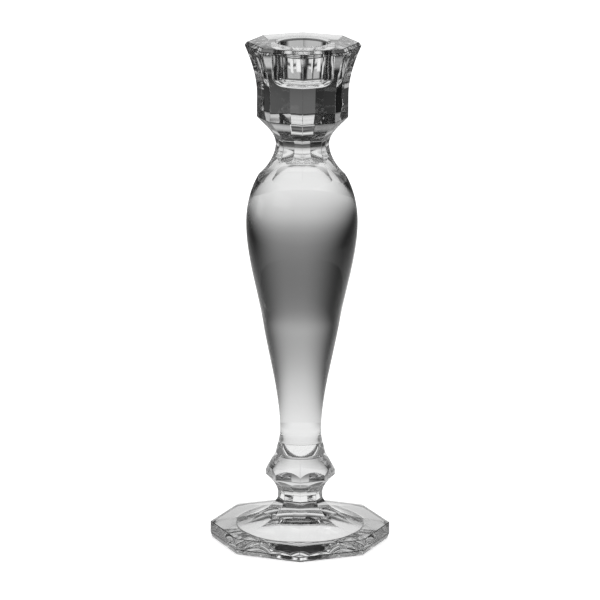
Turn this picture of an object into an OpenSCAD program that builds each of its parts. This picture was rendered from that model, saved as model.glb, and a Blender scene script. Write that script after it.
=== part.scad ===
// Clear crystal candlestick for one dinner candle.
// Four cut pieces stand on each other: an octagonal foot, a knop, a round baluster stem and an
// octagonal candle cup. Their ground ends are joined by thin films of clear adhesive.
// Millimetres, +Z up. The origin is the centre of the foot, on the table.
// Widths of cut pieces are measured across opposite corners, and two corners lie on the X axis.

/* [Cutting] */
// Number of flat sides cut around the foot, the knop, the neck and the candle cup
facets = 8; // [6:2:12]

/* [Foot] */
// Width of the foot
foot_w = 89; // [76:1:130]
// Height of the foot's upright edge above the table
foot_edge_h = 8.1; // [5:0.1:11]
// Height of the bevel round the bottom of the edge
foot_bevel_h = 2.5; // [0.5:0.1:4]
// How far that bevel goes in at the corners
foot_bevel_in = 0.9; // [0.2:0.1:3]
// Width of the neck that rises from the middle of the foot
foot_neck_w = 22.2; // [18:0.2:30]
// Length of the straight part of that neck, below the knop
foot_neck_len = 3.2; // [1:0.1:6]
// Height of the whole foot, up to the knop
foot_h = 24; // [18:0.5:40]
// Lean of the foot's upper face at its edge, in degrees from vertical
foot_edge_lean = 81; // [72:1:86]
// Lean of that face where it meets the neck, in degrees from vertical
foot_neck_lean = 28; // [5:1:40]
// Width of the round hollow under the foot
hollow_w = 61.5; // [44:0.5:66]
// Depth of that hollow in the middle
hollow_depth = 7; // [5:0.1:8]
// Lean of the hollow's domed side at its edge, in degrees from vertical
hollow_lean = 71; // [62:1:78]
// Width of the flat spot in the middle of that dome
hollow_flat_w = 4; // [2:0.5:8]

/* [Knop] */
// Width of the knop
knop_w = 34.5; // [30:0.5:48]
// Height of the knop's cut underside
knop_under_h = 8.4; // [5:0.1:12]
// Lean of that underside where it leaves the neck, in degrees from vertical
knop_neck_lean = 9; // [0:1:20]
// Lean of that underside where it meets the band, in degrees from vertical
knop_band_lean = 48; // [35:1:60]
// Height of the upright band round the knop's widest part
knop_band_h = 2.4; // [0.5:0.1:5]
// Height of the knop's round upper slope
knop_slope_h = 9.2; // [6:0.1:16]
// Diameter of the knop's round top, where the stem stands
knop_top_w = 24.4; // [22:0.2:28]

/* [Stem] */
// Height of the whole stem
stem_h = 155.6; // [144:0.2:220]
// Lean of the stem's side where it stands on the knop, in degrees from vertical
stem_base_lean = 10; // [0:1:25]
// Diameter of the stem's waist, just above the knop
waist_w = 20.4; // [14:0.2:24]
// Height of the waist above the stem's bottom
waist_z = 10.6; // [6:0.1:20]
// Diameter of the stem half way up its taper
taper_w = 37.6; // [30:0.2:44]
// Height of that place above the stem's bottom
taper_z = 65.6; // [45:0.1:85]
// Lean of the taper there, in degrees from vertical
taper_lean = 9.3; // [5:0.1:14]
// Diameter of the belly, the stem's widest part
belly_w = 54.7; // [48:0.1:66]
// Height of the belly above the stem's bottom
belly_z = 116.1; // [105:0.1:122]
// Diameter of the round shoulder, part of the way up to the neck
shoulder_w = 38; // [34:0.2:42]
// Distance of that place below the stem's top
shoulder_drop = 12.5; // [8:0.1:16]
// Lean of the shoulder there, in degrees from vertical
shoulder_lean = 38; // [25:1:50]
// Diameter of the turned blank's top, before the neck is cut from it
blank_top_w = 32; // [30.5:0.5:36]
// Width at which the cutting wheel leaves the shoulder's flutes
flute_w = 54; // [51:0.5:60]
// Distance of that place below the stem's top
flute_drop = 19.5; // [18:0.1:22]
// Lean of the flutes there, in degrees from vertical
flute_lean = 62; // [50:1:70]

/* [Candle cup] */
// Width of the neck between the stem and the candle cup
neck_w = 26.2; // [22:0.2:30]
// Height of the candle cup's hollow-cut underside
cup_under_h = 12.9; // [8:0.1:18]
// Lean of that underside where it leaves the neck, in degrees from vertical
cup_neck_lean = 4; // [0:1:15]
// Lean of that underside where it meets the band, in degrees from vertical
cup_band_lean = 42; // [30:1:55]
// Width of the candle cup's upright band
band_w = 44.7; // [40:0.1:52]
// Height of that band
band_h = 11; // [6:0.1:16]
// Height of the flare above the band
flare_h = 24.3; // [16:0.1:34]
// Lean of the flare at the rim, in degrees from vertical
flare_lean = 24; // [15:1:35]
// Width of the candle cup at its rim
rim_w = 57; // [48:0.2:66]
// Height of the bevel round the rim
rim_bevel_h = 1.6; // [0.4:0.1:3]
// How far that bevel goes in at the corners
rim_bevel_in = 1.2; // [0.3:0.1:3]

/* [Candle socket] */
// Diameter of the candle that the socket takes
candle_w = 22; // [18:0.1:24]
// Clearance all round the candle
candle_gap = 1.2; // [0.2:0.1:1.6]
// Depth of the socket below the rim
socket_depth = 20; // [12:0.5:30]
// Radius between the socket's wall and its floor
socket_round = 5.5; // [2:0.1:7]
// Radius of the rounded lip at the socket's mouth
socket_lip = 1.7; // [0.5:0.1:2.5]

/* [Adhesive] */
// Thickness of the clear adhesive film in each joint
film_t = 0.2; // [0.1:0.05:0.4]
// How far each film stops short of the joint's edge
film_inset = 0.1; // [0.05:0.05:0.5]

/* [Hidden] */

$fn = 96;
curve_steps = 8;     // straight pieces in each curve
curve_pull = 0.33;   // how far a curve keeps its first direction, as a share of its length
spare = 2;           // how far a cutting shape passes the piece that it cuts

crystal = [0.84, 0.87, 0.89, 0.55];
adhesive = [0.93, 0.95, 0.90, 0.75];

knop_h = knop_under_h + knop_band_h + knop_slope_h;
cup_h = cup_under_h + band_h + flare_h + rim_bevel_h;

foot_film_z = foot_h;
knop_z = foot_film_z + film_t;
knop_film_z = knop_z + knop_h;
stem_z = knop_film_z + film_t;
cup_film_z = stem_z + stem_h;
cup_z = cup_film_z + film_t;

// Points of a smooth curve from one place to the next, without the last point. A place is
// [radius, height, lean], and its lean is in degrees from vertical, positive if it widens upwards.
function curve(from, to) =
    let (reach = curve_pull * norm([to.x - from.x, to.y - from.y]))
    let (a = [from.x, from.y])
    let (b = a + reach * [sin(from.z), cos(from.z)])
    let (d = [to.x, to.y])
    let (c = d - reach * [sin(to.z), cos(to.z)])
    [
        for (step = [0 : curve_steps - 1])
            let (t = step / curve_steps, u = 1 - t)
            u * u * u * a + 3 * u * u * t * b + 3 * u * t * t * c + t * t * t * d
    ];

// Points of the smooth curves through a row of places, the last place included
function through(places) =
    let (last = places[len(places) - 1])
    concat(
        [for (k = [0 : len(places) - 2]) each curve(places[k], places[k + 1])],
        [[last.x, last.y]]
    );

// A round piece: the profile is turned about the Z axis
module turned(profile) {
    bottom = profile[0].y;
    top = profile[len(profile) - 1].y;
    rotate_extrude() polygon(concat([[0, bottom]], profile, [[0, top]]));
}

// A cut piece: its corners follow the profile, and its sides are flat across
module cut(profile) {
    corner_to_flat = cos(180 / facets);
    flats = [for (p = profile) [p.x * corner_to_flat, p.y]];
    mirrored = [for (k = [len(flats) - 1 : -1 : 0]) [-flats[k].x, flats[k].y]];
    long = 2 * (max([for (p = profile) p.x]) + spare);
    intersection_for (k = [1 : facets / 2])
        rotate([90, 0, (k - 0.5) * 360 / facets + 90])
            linear_extrude(height = long, center = true) polygon(concat(flats, mirrored));
}

// Shallow dome ground into the underside of the foot
module foot_hollow() {
    wall_r = hollow_w / 2;
    flat_r = hollow_flat_w / 2;
    turned(concat(
        [[wall_r, -spare]],
        through([[wall_r, 0, -hollow_lean], [flat_r, hollow_depth, -90]])
    ));
}

module foot() {
    edge_r = foot_w / 2;
    neck_r = foot_neck_w / 2;
    color(crystal)
        difference() {
            cut(concat(
                [[edge_r - foot_bevel_in, 0], [edge_r, foot_bevel_h]],
                through([
                    [edge_r, foot_edge_h, -foot_edge_lean],
                    [neck_r, foot_h - foot_neck_len, -foot_neck_lean]
                ]),
                [[neck_r, foot_h]]
            ));
            foot_hollow();
        }
}

module foot_film() {
    film_r = foot_neck_w / 2 - film_inset;
    color(adhesive) cut([[film_r, foot_film_z], [film_r, foot_film_z + film_t]]);
}

// The knop is turned round above its band, and cut with flats from the band down
module knop() {
    neck_r = foot_neck_w / 2;
    knop_r = knop_w / 2;
    top_r = knop_top_w / 2;
    band_z = knop_z + knop_under_h;
    slope_z = band_z + knop_band_h;
    color(crystal)
        intersection() {
            cut(concat(
                through([[neck_r, knop_z, knop_neck_lean], [knop_r, band_z, knop_band_lean]]),
                [[knop_r, knop_film_z + spare]]
            ));
            turned([
                [knop_r, knop_z - spare],
                [knop_r, slope_z],
                [top_r, knop_film_z]
            ]);
        }
}

module knop_film() {
    color(adhesive)
        translate([0, 0, knop_film_z])
            cylinder(r = knop_top_w / 2 - film_inset, h = film_t);
}

// The stem is turned as a baluster, and flutes are then cut from its top into its shoulder
module stem() {
    belly_r = belly_w / 2;
    neck_r = neck_w / 2;
    flute_z = cup_film_z - flute_drop;
    clear_r = (max(belly_w, flute_w) / 2 + spare) / cos(180 / facets);
    color(crystal)
        intersection() {
            turned(through([
                [knop_top_w / 2, stem_z, -stem_base_lean],
                [waist_w / 2, stem_z + waist_z, 0],
                [taper_w / 2, stem_z + taper_z, taper_lean],
                [belly_r, stem_z + belly_z, 0],
                [shoulder_w / 2, cup_film_z - shoulder_drop, -shoulder_lean],
                [blank_top_w / 2, cup_film_z, 0]
            ]));
            cut(concat(
                [[clear_r, stem_z - spare], [clear_r, flute_z]],
                through([[flute_w / 2, flute_z, -flute_lean], [neck_r, cup_film_z, 0]]),
                [[neck_r, cup_film_z + spare]]
            ));
        }
}

module cup_film() {
    film_r = neck_w / 2 - film_inset;
    color(adhesive) cut([[film_r, cup_film_z], [film_r, cup_film_z + film_t]]);
}

// Space that the candle goes into: a rounded mouth, a straight wall and a rounded floor
module socket() {
    wall_r = candle_w / 2 + candle_gap;
    rim_z = cup_z + cup_h;
    floor_z = rim_z - socket_depth;
    floor_centre = [wall_r - socket_round, floor_z + socket_round];
    lip_centre = [wall_r + socket_lip, rim_z - socket_lip];
    floor_arc = [for (a = [-90 : 15 : 0]) floor_centre + socket_round * [cos(a), sin(a)]];
    lip_arc = [for (a = [180 : -15 : 90]) lip_centre + socket_lip * [cos(a), sin(a)]];
    turned(concat(floor_arc, lip_arc, [[wall_r + socket_lip, rim_z + spare]]));
}

module candle_cup() {
    neck_r = neck_w / 2;
    band_r = band_w / 2;
    rim_r = rim_w / 2;
    band_z = cup_z + cup_under_h;
    flare_z = band_z + band_h;
    bevel_z = flare_z + flare_h;
    color(crystal)
        difference() {
            cut(concat(
                through([[neck_r, cup_z, cup_neck_lean], [band_r, band_z, cup_band_lean]]),
                through([[band_r, flare_z, 0], [rim_r, bevel_z, flare_lean]]),
                [[rim_r - rim_bevel_in, bevel_z + rim_bevel_h]]
            ));
            socket();
        }
}

foot();
foot_film();
knop();
knop_film();
stem();
cup_film();
candle_cup();
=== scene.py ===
import bpy
from math import acos, cos, pi, radians, sin
from mathutils import Matrix, Vector


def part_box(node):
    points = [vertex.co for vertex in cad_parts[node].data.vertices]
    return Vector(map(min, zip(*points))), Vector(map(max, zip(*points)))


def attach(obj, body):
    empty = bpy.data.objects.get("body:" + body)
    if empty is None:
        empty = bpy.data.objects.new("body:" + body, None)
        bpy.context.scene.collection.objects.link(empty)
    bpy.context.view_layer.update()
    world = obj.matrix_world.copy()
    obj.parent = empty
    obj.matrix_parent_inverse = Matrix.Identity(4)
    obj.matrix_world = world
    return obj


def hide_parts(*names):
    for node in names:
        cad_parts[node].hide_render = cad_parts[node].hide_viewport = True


# A clear crystal candlestick. Each glass piece is a profile turned about the Z axis, with flats
# cut round it. Sizes are millimetres, and the heights of each piece's ends come from the frame.

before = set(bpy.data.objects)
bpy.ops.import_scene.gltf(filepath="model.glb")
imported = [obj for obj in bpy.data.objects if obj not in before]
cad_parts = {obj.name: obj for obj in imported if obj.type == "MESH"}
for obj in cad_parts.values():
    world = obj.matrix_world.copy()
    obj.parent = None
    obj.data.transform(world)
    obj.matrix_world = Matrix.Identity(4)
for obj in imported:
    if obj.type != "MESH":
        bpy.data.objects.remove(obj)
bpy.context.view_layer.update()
mm = 0.001
sides = 8                        # flats round each cut piece
flatHalf = pi / sides            # half of the angle that one flat spans
cornerToFlat = cos(flatHalf)
arris = 0.06                     # how far the fine ground arris takes down each corner
cornerShare = 0.3                # least share of a corner's rise over the flat that an arris leaves
roundSpan = 0.95                 # share of a side that a flat's columns take on bored rows and caps
sharpAngle = radians(165)        # a profile that bends more sharply than this gets an arris
curvePull = 0.33                 # how far a curve keeps its first direction
never = 1000.0                   # radius of a cut that doesn't reach the piece
onPlane = 0.001                  # how near a joint plane the corners of its faces lie


def nodeHeights(node):
    low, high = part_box(node)
    return low[2] / mm, high[2] / mm


# Points of a smooth curve between two places, each (radius, height, lean in degrees)
def curve(start, end, steps):
    reach = curvePull * Vector((end[0] - start[0], end[1] - start[1])).length
    first, last = Vector(start[:2]), Vector(end[:2])
    second = first + reach * Vector((sin(radians(start[2])), cos(radians(start[2]))))
    third = last - reach * Vector((sin(radians(end[2])), cos(radians(end[2]))))
    points = []
    for step in range(steps + 1):
        t = step / steps
        u = 1 - t
        points.append(u**3 * first + 3 * u * u * t * second + 3 * u * t * t * third + t**3 * last)
    return points


# Smooth curves through a row of places
def through(places, steps):
    points = []
    for start, end in zip(places, places[1:]):
        points += curve(start, end, steps)[:-1]
    return points + [Vector(places[-1][:2])]


# Points of an arc about a centre, between two angles in degrees
def arc(centre, radius, fromAngle, toAngle, steps):
    angles = [fromAngle + (toAngle - fromAngle) * step / steps for step in range(steps + 1)]
    return [Vector(centre) + radius * Vector((cos(radians(a)), sin(radians(a)))) for a in angles]


def line(start, end, steps):
    return [Vector(start).lerp(Vector(end), step / steps) for step in range(steps + 1)]


# One row of a solid: its height, the radius of its flats and of its round part, half of the
# angle that each flat spans, whether its corners are an arris, and whether one starts above it
def makeRow(height, flat, turned, span, cornered=0.0, eased=0.0):
    return (height, flat, turned, span, cornered, eased)


# A row that is octagonal, with a narrow arris at each corner
def cutRow(point, eased=0.0):
    corner = max(point[0], 0.0)
    flat = corner * cornerToFlat
    turned = max(corner - arris, flat + cornerShare * (corner - flat))
    return makeRow(point[1], flat, turned, acos(min(1.0, flat / turned)), 1.0, eased)


# A round row in a piece whose outside is octagonal
def boredRow(point, eased=0.0):
    return makeRow(point[1], never, point[0], flatHalf * roundSpan, 0.0, eased)


def capRow(height):
    return makeRow(height, 0.0, 0.0, flatHalf * roundSpan)


# Octagonal rows along a profile. An arris takes the place of each sharp edge, and easing is its
# reach to each side. Its faces are marked for a near black painted shade.
def cutRows(points, easing):
    rows = [cutRow(points[0])]
    for before, point, after in zip(points, points[1:], points[2:]):
        back, ahead = before - point, after - point
        if back.angle(ahead) < sharpAngle:
            rows.append(cutRow(point + back.normalized() * easing, 1.0))
            rows.append(cutRow(point + ahead.normalized() * easing))
        else:
            rows.append(cutRow(point))
    return rows + [cutRow(points[-1])]


def node(tree, kind, **settings):
    made = tree.nodes.new(kind)
    for key, value in settings.items():
        setattr(made, key, value)
    return made


def feed(tree, socket, value):
    if isinstance(value, bpy.types.NodeSocket):
        tree.links.new(value, socket)
    else:
        socket.default_value = value


def calc(tree, operation, first, second=0.0, third=0.0):
    made = node(tree, "ShaderNodeMath", operation=operation)
    for socket, value in zip(made.inputs, (first, second, third)):
        feed(tree, socket, value)
    return made.outputs[0]


# Geometry Nodes that turn the rows into a closed solid
def cutAndTurnedTree():
    tree = bpy.data.node_groups.new("cutAndTurned", "GeometryNodeTree")
    for name, kind, value in (
        ("Rows", "NodeSocketGeometry", None),
        ("Sides", "NodeSocketInt", sides),
        ("Flat columns", "NodeSocketInt", 12),
        ("Round columns", "NodeSocketInt", 4),
        ("Crease angle", "NodeSocketFloat", radians(3.2)),
        ("Merge distance", "NodeSocketFloat", 0.002 * mm),
        ("Material", "NodeSocketMaterial", None),
    ):
        socket = tree.interface.new_socket(name, in_out="INPUT", socket_type=kind)
        if value is not None:
            socket.default_value = value
    tree.interface.new_socket("Solid", in_out="OUTPUT", socket_type="NodeSocketGeometry")
    given = node(tree, "NodeGroupInput").outputs
    perSide = calc(tree, "ADD", given["Flat columns"], given["Round columns"])
    columns = calc(tree, "MULTIPLY", perSide, given["Sides"])
    size = node(tree, "GeometryNodeAttributeDomainSize", component="MESH")
    feed(tree, size.inputs["Geometry"], given["Rows"])
    rows = size.outputs["Point Count"]

    # A unit grid, one column for each angle and one row for each row of the profile
    grid = node(tree, "GeometryNodeMeshGrid")
    feed(tree, grid.inputs["Size X"], 1.0)
    feed(tree, grid.inputs["Size Y"], 1.0)
    feed(tree, grid.inputs["Vertices X"], calc(tree, "ADD", columns, 1.0))
    feed(tree, grid.inputs["Vertices Y"], rows)
    place = node(tree, "ShaderNodeSeparateXYZ")
    feed(tree, place.inputs[0], node(tree, "GeometryNodeInputPosition").outputs[0])
    across = calc(tree, "MULTIPLY", calc(tree, "ADD", place.outputs["X"], 0.5), columns)
    column = calc(tree, "ROUND", across)
    upwards = calc(tree, "ADD", place.outputs["Y"], 0.5)
    rowPlace = calc(tree, "MULTIPLY", upwards, calc(tree, "SUBTRACT", rows, 1.0))
    row = calc(tree, "ROUND", rowPlace)

    def rowValue(name, row=row):
        value = node(tree, "GeometryNodeInputNamedAttribute", data_type="FLOAT")
        value.inputs["Name"].default_value = name
        sample = node(tree, "GeometryNodeSampleIndex", data_type="FLOAT", domain="POINT")
        feed(tree, sample.inputs["Geometry"], given["Rows"])
        feed(tree, sample.inputs["Value"], value.outputs["Attribute"])
        feed(tree, sample.inputs["Index"], row)
        return sample.outputs["Value"]

    flatAt, turnedAt, spanAt = rowValue("flat"), rowValue("turned"), rowValue("span")
    half = calc(tree, "DIVIDE", pi, given["Sides"])
    side = calc(tree, "FLOOR", calc(tree, "DIVIDE", calc(tree, "ADD", column, 0.5), perSide))
    inSide = calc(tree, "SUBTRACT", column, calc(tree, "MULTIPLY", side, perSide))
    onFlat = calc(tree, "MINIMUM", calc(tree, "DIVIDE", inSide, given["Flat columns"]), 1.0)
    flatTurn = calc(tree, "MULTIPLY", spanAt, calc(tree, "MULTIPLY_ADD", onFlat, 2.0, -1.0))
    pastFlat = calc(tree, "MAXIMUM", calc(tree, "SUBTRACT", inSide, given["Flat columns"]), 0.0)
    roundTurn = calc(
        tree, "MULTIPLY", calc(tree, "DIVIDE", pastFlat, given["Round columns"]),
        calc(tree, "MULTIPLY", 2.0, calc(tree, "SUBTRACT", half, spanAt)))
    turn = calc(tree, "ADD", flatTurn, roundTurn)
    cutRadius = calc(tree, "DIVIDE", flatAt, calc(tree, "COSINE", flatTurn))
    beyond = calc(tree, "MULTIPLY", calc(tree, "GREATER_THAN", pastFlat, 0.5), never)
    radius = calc(tree, "MINIMUM", turnedAt, calc(tree, "ADD", cutRadius, beyond))
    angle = calc(tree, "ADD", turn, calc(
        tree, "MULTIPLY", calc(tree, "MULTIPLY_ADD", side, 2.0, 1.0), half))

    # Mark the faces of each arris while the grid is still flat. These faces get painted shade.
    faceColumn = calc(tree, "FLOOR", across)
    faceRow = calc(tree, "FLOOR", rowPlace)
    faceSide = calc(tree, "FLOOR", calc(tree, "DIVIDE", calc(tree, "ADD", faceColumn, 0.5), perSide))
    pastSide = calc(tree, "SUBTRACT", faceColumn, calc(tree, "MULTIPLY", faceSide, perSide))
    atCorner = calc(tree, "GREATER_THAN", pastSide, calc(
        tree, "SUBTRACT", given["Flat columns"], 0.5))
    mark = node(tree, "GeometryNodeStoreNamedAttribute", data_type="FLOAT", domain="FACE")
    mark.inputs["Name"].default_value = "arris"
    feed(tree, mark.inputs["Geometry"], grid.outputs["Mesh"])
    feed(tree, mark.inputs["Value"], calc(
        tree, "MAXIMUM", calc(tree, "MULTIPLY", atCorner, rowValue("cornered", faceRow)),
        calc(tree, "MULTIPLY", 2.0, rowValue("eased", faceRow))))
    put = node(tree, "ShaderNodeCombineXYZ")
    feed(tree, put.inputs["X"], calc(tree, "MULTIPLY", radius, calc(tree, "COSINE", angle)))
    feed(tree, put.inputs["Y"], calc(tree, "MULTIPLY", radius, calc(tree, "SINE", angle)))
    feed(tree, put.inputs["Z"], rowValue("height"))
    shape = node(tree, "GeometryNodeSetPosition")
    feed(tree, shape.inputs["Geometry"], mark.outputs["Geometry"])
    feed(tree, shape.inputs["Position"], put.outputs[0])

    merged = node(tree, "GeometryNodeMergeByDistance")
    feed(tree, merged.inputs["Geometry"], shape.outputs["Geometry"])
    feed(tree, merged.inputs["Distance"], given["Merge distance"])
    smooth = node(tree, "GeometryNodeSetShadeSmooth", domain="FACE")
    feed(tree, smooth.inputs["Geometry"], merged.outputs["Geometry"])
    creases = node(tree, "GeometryNodeSetShadeSmooth", domain="EDGE")
    feed(tree, creases.inputs["Geometry"], smooth.outputs["Geometry"])
    edge = node(tree, "GeometryNodeInputMeshEdgeAngle")
    sharp = calc(tree, "GREATER_THAN", edge.outputs["Unsigned Angle"], given["Crease angle"])
    feed(tree, creases.inputs["Selection"], sharp)
    feed(tree, creases.inputs["Shade Smooth"], False)
    whole = node(tree, "GeometryNodeRealizeInstances")
    feed(tree, whole.inputs["Geometry"], creases.outputs["Geometry"])
    dressed = node(tree, "GeometryNodeSetMaterial")
    feed(tree, dressed.inputs["Geometry"], whole.outputs["Geometry"])
    feed(tree, dressed.inputs["Material"], given["Material"])
    out = node(tree, "NodeGroupOutput")
    feed(tree, out.inputs["Solid"], dressed.outputs["Geometry"])
    return tree


# Makes one solid from its rows. Faces on the joint planes get their own material, and each arris gets
# a painted shade finish: a grey line on a corner's arris and a near black one on an edge's. The mark is
# 1 on a corner's arris and 2 on an edge's.
def makeSolid(name, rows, columns, material, joints):
    flatColumns, roundColumns = columns
    mesh = bpy.data.meshes.new(name + "Rows")
    mesh.vertices.add(len(rows))
    for index, key in enumerate(("height", "flat", "turned", "span", "cornered", "eased")):
        scale = mm if index < 3 else 1.0
        mesh.attributes.new(key, "FLOAT", "POINT").data.foreach_set(
            "value", [row[index] * scale for row in rows])
    maker = bpy.data.objects.new(name + "Maker", mesh)
    bpy.context.scene.collection.objects.link(maker)
    modifier = maker.modifiers.new("cutAndTurned", "NODES")
    modifier.node_group = lathe
    settings = {"Flat columns": flatColumns, "Round columns": roundColumns, "Material": material}
    for item in lathe.interface.items_tree:
        if item.in_out == "INPUT" and item.name in settings:
            modifier[item.identifier] = settings[item.name]
    evaluated = maker.evaluated_get(bpy.context.evaluated_depsgraph_get())
    solid = bpy.data.meshes.new_from_object(evaluated)
    solid.name = name
    bpy.data.objects.remove(maker)
    bpy.data.meshes.remove(mesh)
    piece = bpy.data.objects.new(name, solid)
    bpy.context.scene.collection.objects.link(piece)
    solid.materials.clear()
    for finish in (material, jointFace, cornerArrisPaintedShade, edgeArrisPaintedShade):
        solid.materials.append(finish)
    arrisKind = [round(mark.value) for mark in solid.attributes["arris"].data]
    for face in solid.polygons:
        heights = [solid.vertices[v].co.z / mm for v in face.vertices]
        onJoint = any(max(abs(height - joint) for height in heights) < onPlane for joint in joints)
        kind = arrisKind[face.index]
        face.material_index = 1 if onJoint else kind + 1 if kind else 0
    solid.attributes.remove(solid.attributes["arris"])
    print(name, len(solid.polygons), "faces")
    return piece


# Makes a node group, with its inputs and outputs given as (name, kind of socket)
def groupWith(name, inputs, outputs):
    tree = bpy.data.node_groups.new(name, "ShaderNodeTree")
    for label, kind in inputs:
        tree.interface.new_socket(label, in_out="INPUT", socket_type="NodeSocket" + kind)
    for label, kind in outputs:
        tree.interface.new_socket(label, in_out="OUTPUT", socket_type="NodeSocket" + kind)
    return tree, node(tree, "NodeGroupInput").outputs, node(tree, "NodeGroupOutput").inputs


# A smooth step from 0 to 1 while the value goes from one end to the other
def softStep(tree, value, start, end):
    made = node(tree, "ShaderNodeMapRange", interpolation_type="SMOOTHSTEP")
    for label, given in (("Value", value), ("From Min", start), ("From Max", end)):
        feed(tree, made.inputs[label], given)
    return made.outputs["Result"]


# What the polisher's wheel leaves: broad clouds, finer smudges and very shallow waves
def handPolishGroup():
    tree, given, out = groupWith(
        "handPolish",
        (("Cloud size", "Float"), ("Smudge size", "Float"), ("Wave size", "Float"),
         ("Wave height", "Float")),
        (("Cloud", "Float"), ("Smudge", "Float"), ("Normal", "Vector")))
    place = node(tree, "ShaderNodeTexCoord").outputs["Object"]

    def noise(size, detail):
        made = node(tree, "ShaderNodeTexNoise")
        feed(tree, made.inputs["Vector"], place)
        feed(tree, made.inputs["Scale"], calc(tree, "DIVIDE", 1.0, given[size]))
        feed(tree, made.inputs["Detail"], detail)
        return made.outputs["Fac"]

    feed(tree, out["Cloud"], softStep(
        tree, noise("Cloud size", polish["cloudDetail"]), *polish["cloudEnds"]))
    feed(tree, out["Smudge"], softStep(
        tree, noise("Smudge size", polish["smudgeDetail"]), *polish["smudgeEnds"]))
    wave = node(tree, "ShaderNodeBump")
    feed(tree, wave.inputs["Height"], noise("Wave size", polish["waveDetail"]))
    feed(tree, wave.inputs["Distance"], given["Wave height"])
    feed(tree, out["Normal"], wave.outputs["Normal"])
    return tree


# Sizes and wave height are metres. Each finish goes from its first colour to its second over
# the clouds, and from its first roughness to its second over the smudges.
polish = dict(
    cloud=0.02, cloudDetail=1.0, cloudEnds=(0.3, 0.7), smudge=0.003, smudgeDetail=3.0,
    smudgeEnds=(0.45, 0.7), wave=0.012, waveDetail=0.0, height=0.00001)
refractiveIndex = 1.54
finishes = dict(
    clearCrystal=dict(colours=((0.985, 0.99, 0.988), (1.0, 1.0, 1.0)), roughness=(0.0, 0.015)),
    clearAdhesive=dict(colours=((0.15, 0.15, 0.14), (0.3, 0.3, 0.29)), roughness=(0.05, 0.15)),
    indexMatchedJoint=dict(colours=((0.97, 0.97, 0.96), (1.0, 1.0, 1.0)), roughness=(0.0, 0.02)),
    # The corner arris colours are painted shade: a faint grey line down each corner.
    cornerArrisPaintedShade=dict(colours=((0.85, 0.85, 0.85), (0.93, 0.93, 0.93)), roughness=(0.08, 0.15)),
    # The edge arris colours are painted shade: a near black line along each edge.
    edgeArrisPaintedShade=dict(colours=((0.02, 0.02, 0.02), (0.06, 0.06, 0.06)), roughness=(0.15, 0.25)),
)


def glassMaterial(name):
    material = bpy.data.materials.new(name)
    material.use_nodes = True
    tree = material.node_tree
    glass = tree.nodes["Principled BSDF"]
    glass.inputs["Transmission Weight"].default_value = 1.0
    glass.inputs["IOR"].default_value = refractiveIndex
    surface = node(tree, "ShaderNodeGroup", node_tree=handPolish)
    for label, value in (("Cloud size", polish["cloud"]), ("Smudge size", polish["smudge"]),
                         ("Wave size", polish["wave"]), ("Wave height", polish["height"])):
        feed(tree, surface.inputs[label], value)
    tint = node(tree, "ShaderNodeMix", data_type="RGBA")       # its colours are inputs 6 and 7
    feed(tree, tint.inputs[0], surface.outputs["Cloud"])
    for socket, colour in zip((tint.inputs[6], tint.inputs[7]), finishes[name]["colours"]):
        feed(tree, socket, (*colour, 1.0))
    feed(tree, glass.inputs["Base Color"], tint.outputs[2])
    smooth, rough = finishes[name]["roughness"]
    feed(tree, glass.inputs["Roughness"],
         calc(tree, "MULTIPLY_ADD", surface.outputs["Smudge"], rough - smooth, smooth))
    feed(tree, glass.inputs["Normal"], surface.outputs["Normal"])
    return material


handPolish = handPolishGroup()
crystal = glassMaterial("clearCrystal")
adhesive = glassMaterial("clearAdhesive")
jointFace = glassMaterial("indexMatchedJoint")
jointFace.node_tree.nodes["Principled BSDF"].inputs["Alpha"].default_value = 0.0
cornerArrisPaintedShade = glassMaterial("cornerArrisPaintedShade")
edgeArrisPaintedShade = glassMaterial("edgeArrisPaintedShade")
print("glass finishes made")
lathe = cutAndTurnedTree()

foot = dict(
    width=89.0, bevelHeight=2.5, bevelIn=0.9, edgeHeight=8.1, edgeLean=81, neckWidth=22.2,
    neckLength=3.2, neckLean=28, hollowWidth=61.5, hollowDepth=7.0, hollowLean=71, hollowFlat=4.0,
    easing=0.26, hollowSteps=48, topSteps=90, columns=(14, 2))


def makeFoot():
    low, high = nodeHeights("foot")
    edge, neck = foot["width"] / 2, foot["neckWidth"] / 2
    middle, wall = foot["hollowFlat"] / 2, foot["hollowWidth"] / 2
    roof = low + foot["hollowDepth"]
    hollow = [Vector((0, roof))]
    hollow += curve((middle, roof, 90), (wall, low, 180 - foot["hollowLean"]),
                    foot["hollowSteps"])
    outside = [Vector((edge - foot["bevelIn"], low)), Vector((edge, foot["bevelHeight"]))]
    outside += through([(edge, foot["edgeHeight"], -foot["edgeLean"]),
                        (neck, high - foot["neckLength"], -foot["neckLean"])], foot["topSteps"])
    outside += [Vector((neck, high))]
    # The last step of the hollow is marked as an edge's arris, so a near black painted shade line runs
    # round the hollow's rim.
    rows = [boredRow(p) for p in hollow[:-2]] + [boredRow(hollow[-2], 1.0), boredRow(hollow[-1])]
    rows += cutRows(outside, foot["easing"]) + [capRow(high)]
    return makeSolid("footCrystal", rows, foot["columns"], crystal, [high])


knop = dict(
    width=34.5, underHeight=8.4, neckLean=9, bandLean=48, bandHeight=2.4, topWidth=24.4,
    easing=0.14, underSteps=32, flatSteps=16, coneSteps=8, columns=(12, 16))


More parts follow.
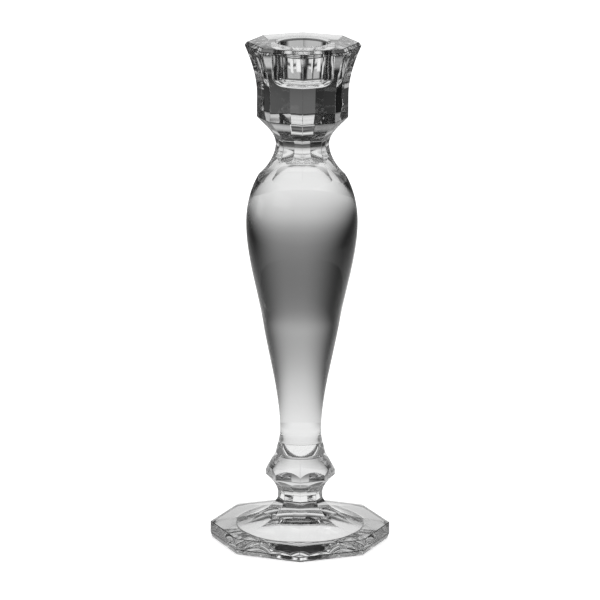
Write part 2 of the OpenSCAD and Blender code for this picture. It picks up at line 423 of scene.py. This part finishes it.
def makeKnop():
    low, high = nodeHeights("knop")
    neck, widest, top = foot["neckWidth"] / 2, knop["width"] / 2, knop["topWidth"] / 2
    bandLow = low + knop["underHeight"]
    bandHigh = bandLow + knop["bandHeight"]
    under = curve((neck, low, knop["neckLean"]), (widest, bandLow, knop["bandLean"]),
                  knop["underSteps"])
    rows = [capRow(low)] + cutRows(under + [Vector((widest, bandHigh))], knop["easing"])
    flat = widest * cornerToFlat
    slopeAt = (high - bandHigh) / (top - widest)
    # Each flat runs up the slope and narrows to nothing
    for k in range(1, knop["flatSteps"] + 1):
        span = flatHalf * (1 - k / knop["flatSteps"])
        radius = min(widest - arris, flat / cos(span))
        rows.append(makeRow(bandHigh + (radius - widest) * slopeAt, flat, radius, span))
    last = rows[-1]
    for k in range(1, knop["coneSteps"] + 1):
        t = k / knop["coneSteps"]
        radius = last[2] + (top - last[2]) * t
        rows.append(makeRow(last[0] + (high - last[0]) * t, never, radius, 0.0))
    rows.append(makeRow(high, never, 0.0, 0.0))
    return makeSolid("knopCrystal", rows, knop["columns"], crystal, [low, high])


stem = dict(
    baseLean=10, waistWidth=20.4, waistUp=10.6, taperWidth=37.6, taperUp=65.6, taperLean=9.3,
    bellyWidth=54.7, bellyUp=116.1, shoulderWidth=38.0, shoulderDrop=12.5, shoulderLean=38,
    blankTopWidth=32.0, fluteWidth=54.0, fluteDrop=19.5, fluteLean=62, neckWidth=26.2,
    blankSteps=40, fluteSteps=200, runOutSteps=16, neckSteps=60, halvings=50, leastSpan=1e-4,
    runOutGap=0.1, cuspSpan=0.97, columns=(12, 16))


# Radius of a row of points at a height, taken along the straight pieces between them
def radiusAt(points, height):
    for a, b in zip(points, points[1:]):
        if a[1] <= height <= b[1]:
            return a[0] + (b[0] - a[0]) * (height - a[1]) / (b[1] - a[1])
    return points[0][0] if height < points[0][1] else points[-1][0]


def makeStem():
    low, high = nodeHeights("stem")
    blank = through([
        (knop["topWidth"] / 2, low, -stem["baseLean"]),
        (stem["waistWidth"] / 2, low + stem["waistUp"], 0),
        (stem["taperWidth"] / 2, low + stem["taperUp"], stem["taperLean"]),
        (stem["bellyWidth"] / 2, low + stem["bellyUp"], 0),
        (stem["shoulderWidth"] / 2, high - stem["shoulderDrop"], -stem["shoulderLean"]),
        (stem["blankTopWidth"] / 2, high, 0)], stem["blankSteps"])
    fluteLow = high - stem["fluteDrop"]
    flute = curve((stem["fluteWidth"] / 2, fluteLow, -stem["fluteLean"]),
                  (stem["neckWidth"] / 2, high, 0), stem["fluteSteps"])

    def spanAt(height):
        turned = radiusAt(blank, height)
        flat = radiusAt(flute, height) * cornerToFlat
        return acos(min(1.0, max(cornerToFlat, flat / turned)))

    # Height at which a flute spans this much, found by halving
    def heightWhere(span):
        below, above = fluteLow, high
        for _ in range(stem["halvings"]):
            middle = (below + above) / 2
            if spanAt(middle) < span:
                below = middle
            else:
                above = middle
        return above

    fullSpan = flatHalf - stem["leastSpan"]
    runOut, cusp = heightWhere(stem["leastSpan"]), heightWhere(fullSpan)
    rows = [makeRow(low, never, 0.0, 0.0)]
    rows += [makeRow(p[1], never, p[0], 0.0) for p in blank if p[1] < runOut - stem["runOutGap"]]
    rows.append(makeRow(runOut, radiusAt(blank, runOut), radiusAt(blank, runOut), 0.0))
    # Rows are closer where the flute runs out
    for k in range(1, stem["runOutSteps"] + 1):
        height = heightWhere(min(flatHalf * k / stem["runOutSteps"], fullSpan))
        turned = radiusAt(blank, height)
        flat = radiusAt(flute, height) * cornerToFlat
        rows.append(makeRow(height, flat, turned, min(spanAt(height), flatHalf * stem["cuspSpan"])))
    for k in range(1, stem["neckSteps"] + 1):
        height = cusp + (high - cusp) * k / stem["neckSteps"]
        rows.append(cutRow((radiusAt(flute, height), height)))
    rows.append(capRow(high))
    return makeSolid("stemCrystal", rows, stem["columns"], crystal, [low, high])


candleCup = dict(
    underHeight=12.9, neckLean=4, bandLean=42, bandWidth=44.7, bandHeight=11.0, flareHeight=24.3,
    flareLean=24, rimWidth=57.0, rimBevelHeight=1.6, rimBevelIn=1.2, rimPaintedShade=0.7,
    easing=0.2, underSteps=40, bandSteps=4, flareSteps=24, columns=(14, 2))
socket = dict(
    width=24.4, depth=20.0, floorRound=5.5, lip=1.7, innerFloor=3.0, lipSteps=36, wallSteps=6,
    roundSteps=40)


def makeCup():
    low, high = nodeHeights("candle_cup")
    neck, band, rim = stem["neckWidth"] / 2, candleCup["bandWidth"] / 2, candleCup["rimWidth"] / 2
    bandLow = low + candleCup["underHeight"]
    flareLow = bandLow + candleCup["bandHeight"]
    rimLow = flareLow + candleCup["flareHeight"]
    outside = curve((neck, low, candleCup["neckLean"]), (band, bandLow, candleCup["bandLean"]),
                    candleCup["underSteps"])
    outside += line((band, bandLow), (band, flareLow), candleCup["bandSteps"])[1:-1]
    outside += curve((band, flareLow, 0), (rim, rimLow, candleCup["flareLean"]),
                     candleCup["flareSteps"])
    outside += [Vector((rim - candleCup["rimBevelIn"], high))]
    wall, turn, lip = socket["width"] / 2, socket["floorRound"], socket["lip"]
    floor = high - socket["depth"]
    bore = arc((wall + lip, high - lip), lip, 90, 180, socket["lipSteps"])
    bore += line((wall, high - lip), (wall, floor + turn), socket["wallSteps"])[1:-1]
    bore += arc((wall - turn, floor + turn), turn, 0, -90, socket["roundSteps"])
    bore += [Vector((socket["innerFloor"], floor)), Vector((0, floor))]
    cut = cutRows(outside + bore[:1], candleCup["easing"])[:-1]
    cut[-1] = makeRow(*cut[-1][:5], 1.0)        # the edge arris's painted shade runs on over the rim's top as a dark band
    # This row ends the painted shade band on the rim's top.
    cut.append(cutRow((rim - candleCup["rimBevelIn"] - candleCup["rimPaintedShade"], high)))
    rows = [capRow(low)] + cut + [boredRow(p) for p in bore]
    return makeSolid("cupCrystal", rows, candleCup["columns"], crystal, [low])


film = dict(inset=0.1, columns=(14, 2))


def makeFilm(name, cadNode, width, octagonal):
    low, high = nodeHeights(cadNode)
    edge = width / 2 - film["inset"]
    row = cutRow if octagonal else boredRow
    rows = [capRow(low), row((edge, low)), row((edge, high)), capRow(high)]
    return makeSolid(name, rows, film["columns"], adhesive, [low, high])


for piece, cadNode, slot in (
    (makeFoot(), "foot", "crystal"),
    (makeFilm("footFilm", "foot_film", foot["neckWidth"], True), "foot_film", "clear_adhesive"),
    (makeKnop(), "knop", "crystal"),
    (makeFilm("knopFilm", "knop_film", knop["topWidth"], False), "knop_film", "clear_adhesive"),
    (makeStem(), "stem", "crystal"),
    (makeFilm("cupFilm", "cup_film", stem["neckWidth"], True), "cup_film", "clear_adhesive"),
    (makeCup(), "candle_cup", "crystal"),
):
    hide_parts(cadNode)
    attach(piece, "root")
print("pieces made")

scene = bpy.context.scene
scene.view_settings.view_transform = "Standard"
glassBounces, clearBounces = 40, 64
scene.cycles.max_bounces = glassBounces
scene.cycles.transmission_bounces = glassBounces
scene.cycles.glossy_bounces = glassBounces
scene.cycles.transparent_max_bounces = clearBounces
world = bpy.data.worlds.new("studio")
scene.world = world
world.use_nodes = True
world.node_tree.nodes["Background"].inputs["Color"].default_value = (1, 1, 1, 1)

# The glass sees a round wall that glows low down behind it, with softboxes at these places.
# Angles are degrees to the right of straight behind, and heights are millimetres, but the
# room's radius, height, reach and floor level are metres.
room = dict(
    radius=0.3, height=1.2, wallSides=96, floorReach=4.0, centre=6, spreadStart=5,
    spreadAtFloor=115, spreadLoss=0.55, leastSpread=44, frontEdge=(95, 130), floorFill=0.4,
    floorLevel=-0.0002)
glowBehind = (
    (0, 0.86), (50, 0.69), (75, 0.6), (95, 0.4), (120, 0.21), (160, 0.13), (230, 0.1), (270, 0))
glowBeside = ((0, 0.35), (25, 0.3), (50, 0.12), (75, 0.02), (200, 0))
glowInFront = ((0, 0.25), (60, 0.18), (80, 0.22), (110, 0.12), (150, 0.07), (300, 0.03))
softboxes = dict(
    backLow=dict(angles=(-12, 20), heights=(225, 300), blur=(5, 12), brightness=0.5),
    backHigh=dict(angles=(3, 24), heights=(282, 345), blur=(4, 7), brightness=1.0),
    tube=dict(angles=(-9, 8), heights=(296, 305), blur=(6, 9), brightness=1.25),
    tubeAbove=dict(angles=(-7, 9), heights=(329, 350), blur=(6, 9), brightness=0.95),
    backTop=dict(angles=(-8, 24), heights=(318, 345), blur=(4, 7), brightness=0.8),
    backRight=dict(angles=(20, 50), heights=(310, 365), blur=(8, 12), brightness=0.6),
    farLeft=dict(angles=(-55, -25), heights=(310, 365), blur=(8, 12), brightness=0.4),
    overhead=dict(angles=(-25, 32), heights=(620, 1000), blur=(10, 30), brightness=0.3),
    frontLeft=dict(angles=(-155, -115), heights=(235, 325), blur=(8, 15), brightness=0.6),
    highLeft=dict(angles=(-135, -108), heights=(560, 800), blur=(8, 30), brightness=0.4),
    stripLeft=dict(angles=(-92, -72), heights=(150, 225), blur=(6, 15), brightness=0.9),
    right=dict(angles=(80, 145), heights=(385, 445), blur=(6, 12), brightness=0.6),
)


# One softbox. It fades over the blur to both sides of each limit, where it has half its brightness.
# A box that is narrower than twice its blur never gets its full brightness.
def softboxGroup():
    labels = ("Angle", "Height", "Left", "Right", "Low", "High", "Blur across", "Blur up", "Brightness")
    tree, given, out = groupWith(
        "softbox", [(label, "Float") for label in labels], [("Light", "Float")])
    light = given["Brightness"]
    for value, first, last, blur in (
        ("Angle", "Left", "Right", "Blur across"), ("Height", "Low", "High", "Blur up"),
    ):
        rise = softStep(
            tree, given[value], calc(tree, "SUBTRACT", given[first], given[blur]),
            calc(tree, "ADD", given[first], given[blur]))
        fall = softStep(
            tree, given[value], calc(tree, "SUBTRACT", given[last], given[blur]),
            calc(tree, "ADD", given[last], given[blur]))
        inside = calc(tree, "MULTIPLY", rise, calc(tree, "SUBTRACT", 1.0, fall))
        light = calc(tree, "MULTIPLY", light, inside)
    feed(tree, out["Light"], light)
    return tree


def ramp(tree, height, stops):
    top = stops[-1][0]
    made = node(tree, "ShaderNodeValToRGB")
    feed(tree, made.inputs["Fac"], calc(tree, "DIVIDE", height, top))
    made.color_ramp.interpolation = "B_SPLINE"
    points = made.color_ramp.elements
    while len(points) < len(stops):
        points.new(0.5)
    for point, (place, value) in zip(points, stops):
        point.position = place / top
        point.color = (value, value, value, 1.0)
    return made.outputs["Color"]


def glowMaterial(name):
    material = bpy.data.materials.new(name)
    material.use_nodes = True
    tree = material.node_tree
    tree.nodes.clear()
    place = node(tree, "ShaderNodeSeparateXYZ")
    feed(tree, place.inputs[0], node(tree, "ShaderNodeTexCoord").outputs["Object"])
    lamp = node(tree, "ShaderNodeEmission")
    material.cycles.emission_sampling = "NONE"
    return material, tree, place.outputs, lamp


def wallMaterial():
    material, tree, place, lamp = glowMaterial("studioWall")
    turn = calc(tree, "ARCTAN2", place["X"], place["Y"])
    angle = calc(tree, "DEGREES", turn)
    height = calc(tree, "DIVIDE", place["Z"], mm)
    offCentre = calc(tree, "ABSOLUTE", calc(tree, "SUBTRACT", angle, room["centre"]))
    spread = calc(tree, "MAXIMUM", room["leastSpread"], calc(
        tree, "MULTIPLY_ADD", height, -room["spreadLoss"], room["spreadAtFloor"]))
    away = softStep(tree, offCentre, room["spreadStart"], spread)
    inFront = softStep(tree, calc(tree, "ABSOLUTE", angle), *room["frontEdge"])
    beside = calc(tree, "MULTIPLY", away, calc(tree, "SUBTRACT", 1.0, inFront))
    light = calc(tree, "MULTIPLY", ramp(tree, height, glowBehind), calc(tree, "SUBTRACT", 1.0, away))
    light = calc(tree, "MULTIPLY_ADD", ramp(tree, height, glowBeside), beside, light)
    light = calc(tree, "MULTIPLY_ADD", ramp(tree, height, glowInFront), inFront, light)
    group = softboxGroup()
    for name, box in softboxes.items():
        panel = node(tree, "ShaderNodeGroup", node_tree=group, label=name)
        for label, value in (
            ("Angle", angle), ("Height", height), ("Left", box["angles"][0]),
            ("Right", box["angles"][1]), ("Low", box["heights"][0]), ("High", box["heights"][1]),
            ("Blur across", box["blur"][0]), ("Blur up", box["blur"][1]),
            ("Brightness", box["brightness"]),
        ):
            feed(tree, panel.inputs[label], value)
        light = calc(tree, "MAXIMUM", light, panel.outputs["Light"])
    feed(tree, lamp.inputs["Color"], light)
    feed(tree, node(tree, "ShaderNodeOutputMaterial").inputs["Surface"], lamp.outputs[0])
    return material


# What the glass sees of the floor. It's brighter to the back, shaded round the foot, and the
# ground hollow gathers light in the middle. Places are metres.
pool = dict(
    backwards=(-0.145, 0.145), gain=0.68, least=0.2, sideways=(0.06, 0.38), sideLoss=0.8,
    shadeStart=(0.042, 0.047), shadeEnd=(0.055, 0.075), shadeLoss=0.6,
    hollowEdge=(0.028, 0.034), underHollow=0.92)


# Bright white to the camera, and the pool of light to the glass
def floorMaterial():
    material, tree, place, lamp = glowMaterial("studioFloor")
    backwards = softStep(tree, place["Y"], *pool["backwards"])
    sideways = softStep(tree, calc(tree, "ABSOLUTE", place["X"]), *pool["sideways"])
    paper = calc(tree, "MULTIPLY", calc(tree, "MULTIPLY_ADD", backwards, pool["gain"], pool["least"]),
                 calc(tree, "MULTIPLY_ADD", sideways, -pool["sideLoss"], 1.0))
    away = calc(tree, "SQRT", calc(tree, "ADD", calc(tree, "POWER", place["X"], 2.0),
                                   calc(tree, "POWER", place["Y"], 2.0)))
    shade = calc(tree, "SUBTRACT", softStep(tree, away, *pool["shadeStart"]),
                 softStep(tree, away, *pool["shadeEnd"]))
    paper = calc(tree, "MULTIPLY", paper, calc(tree, "MULTIPLY_ADD", shade, -pool["shadeLoss"], 1.0))
    underHollow = calc(tree, "SUBTRACT", 1.0, softStep(tree, away, *pool["hollowEdge"]))
    light = calc(tree, "MULTIPLY_ADD", underHollow,
                 calc(tree, "SUBTRACT", pool["underHollow"], paper), paper)
    feed(tree, lamp.inputs["Color"], light)
    white = node(tree, "ShaderNodeBsdfDiffuse")
    feed(tree, white.inputs["Color"], (1.0, 1.0, 1.0, 1.0))
    fill = node(tree, "ShaderNodeEmission")
    feed(tree, fill.inputs["Strength"], room["floorFill"])
    filled = node(tree, "ShaderNodeAddShader")
    feed(tree, filled.inputs[0], white.outputs[0])
    feed(tree, filled.inputs[1], fill.outputs[0])
    mix = node(tree, "ShaderNodeMixShader")
    feed(tree, mix.inputs[0], node(tree, "ShaderNodeLightPath").outputs["Is Camera Ray"])
    feed(tree, mix.inputs[1], lamp.outputs[0])
    feed(tree, mix.inputs[2], filled.outputs[0])
    feed(tree, node(tree, "ShaderNodeOutputMaterial").inputs["Surface"], mix.outputs[0])
    return material


def stageMesh(name, points, faces, material):
    mesh = bpy.data.meshes.new(name)
    mesh.from_pydata(points, [], faces)
    mesh.materials.append(material)
    made = bpy.data.objects.new(name, mesh)
    scene.collection.objects.link(made)
    return made


def makeRoom():
    count = room["wallSides"]
    turns = [2 * pi * k / count for k in range(count)]
    points = [(room["radius"] * sin(a), room["radius"] * cos(a), z)
              for z in (room["floorLevel"], room["height"]) for a in turns]
    faces = [(k, (k + 1) % count, count + (k + 1) % count, count + k) for k in range(count)]
    ceiling = tuple(range(count, 2 * count))
    wall = stageMesh("studioWall", points, faces + [ceiling], wallMaterial())
    wall.visible_camera = False
    wall.visible_diffuse = False
    wall.visible_shadow = False
    reach = room["floorReach"]
    corners = [(x * reach, y * reach, room["floorLevel"])
               for x, y in ((-1, -1), (1, -1), (1, 1), (-1, 1))]
    stageMesh("studioFloor", corners, [(0, 1, 2, 3)], floorMaterial())
    print("studio made")


makeRoom()

cameraPlace = dict(
    aim=(-0.0007, 0.0, 0.12126), distance=2.205, elevation=13.36, lens=269.02, roll=0.365,
    sensor=36.0, farthest=20.0)


def makeCamera():
    data = bpy.data.cameras.new("camera")
    data.lens = cameraPlace["lens"]
    data.sensor_width = cameraPlace["sensor"]
    data.clip_end = cameraPlace["farthest"]
    camera = bpy.data.objects.new("camera", data)
    scene.collection.objects.link(camera)
    tilt = radians(cameraPlace["elevation"])
    away = Vector((0.0, -cos(tilt), sin(tilt))) * cameraPlace["distance"]
    turn = Matrix.Rotation(radians(90) - tilt, 4, "X") @ Matrix.Rotation(
        radians(cameraPlace["roll"]), 4, "Z")
    camera.matrix_world = Matrix.Translation(Vector(cameraPlace["aim"]) + away) @ turn
    scene.camera = camera


makeCamera()
print("camera placed")
